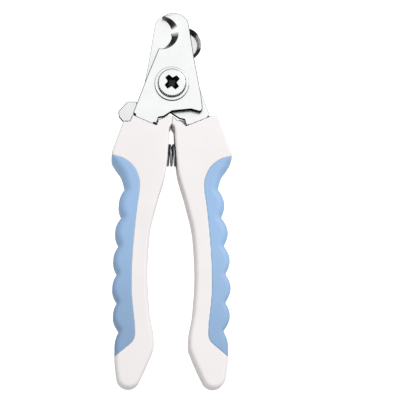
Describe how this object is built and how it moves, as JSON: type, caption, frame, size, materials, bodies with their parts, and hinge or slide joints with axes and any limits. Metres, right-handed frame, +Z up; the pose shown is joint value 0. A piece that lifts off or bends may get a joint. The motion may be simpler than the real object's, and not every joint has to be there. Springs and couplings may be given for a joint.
{
  "type": "pet nail trimmer",
  "caption": "Pliers-type pet nail trimmer: two notched steel blades on a screw pivot, bowed scalloped grip handles, return coil spring, swing-aside depth guard and a thumb latch.",
  "frame": {"origin": "middle of the object's box in plan, on the plane that the handles' backs rest on", "axes": "+Y towards the blade tips, along the length; +Z up through the head, from the handles' backs to the pivot screw's head; +X towards the right handle, which carries the rear blade"},
  "size_m": [0.0522, 0.165, 0.016],
  "materials": {
    "blade_steel": "satin ground stainless steel with a bright ground bevel",
    "polished_steel": "polished",
    "sheet_steel": "stamped sheet, tumbled satin",
    "spring_steel": "drawn wire",
    "white_plastic": "moulded, fine satin",
    "blue_grip": "soft matt thermoplastic rubber"
  },
  "bodies": {
    "left": {"front_blade": "blade_steel", "left_handle": "white_plastic", "left_grip": "blue_grip", "left_tang_pin_1": "sheet_steel", "left_tang_pin_2": "sheet_steel", "left_spring_seat": "white_plastic", "pivot_screw": "polished_steel", "front_washer": "polished_steel", "rear_washer": "polished_steel", "wave_washer": "spring_steel", "pivot_nut": "polished_steel", "latch_rivet": "polished_steel", "latch_washer": "polished_steel", "return_spring": "spring_steel"},
    "right": {"rear_blade": "blade_steel", "right_handle": "white_plastic", "right_grip": "blue_grip", "right_tang_pin_1": "sheet_steel", "right_tang_pin_2": "sheet_steel", "right_spring_seat": "white_plastic", "guard_stop_pin": "sheet_steel"},
    "guard": {"safety_guard": "sheet_steel"},
    "latch": {"latch_lever": "sheet_steel"}
  },
  "joints": [
    {"name": "handle_open", "type": "hinge", "parent": "left", "child": "right", "pos_m": [0, 0.0505, 0.008], "axis": [0, 0, 1], "range_deg": [0, 20], "stiffness_Nm_per_rad": 0.35, "springref_deg": 31.51, "deforming": ["return_spring"]},
    {"name": "guard_swing", "type": "hinge", "parent": "right", "child": "guard", "pos_m": [0, 0.0505, 0.004], "axis": [0, 0, 1], "range_deg": [-60, 0]},
    {"name": "latch_turn", "type": "hinge", "parent": "left", "child": "latch", "pos_m": [-0.0142, 0.0336, 0.0063], "axis": [0, 0, 1], "range_deg": [0, 55]}
  ]
}
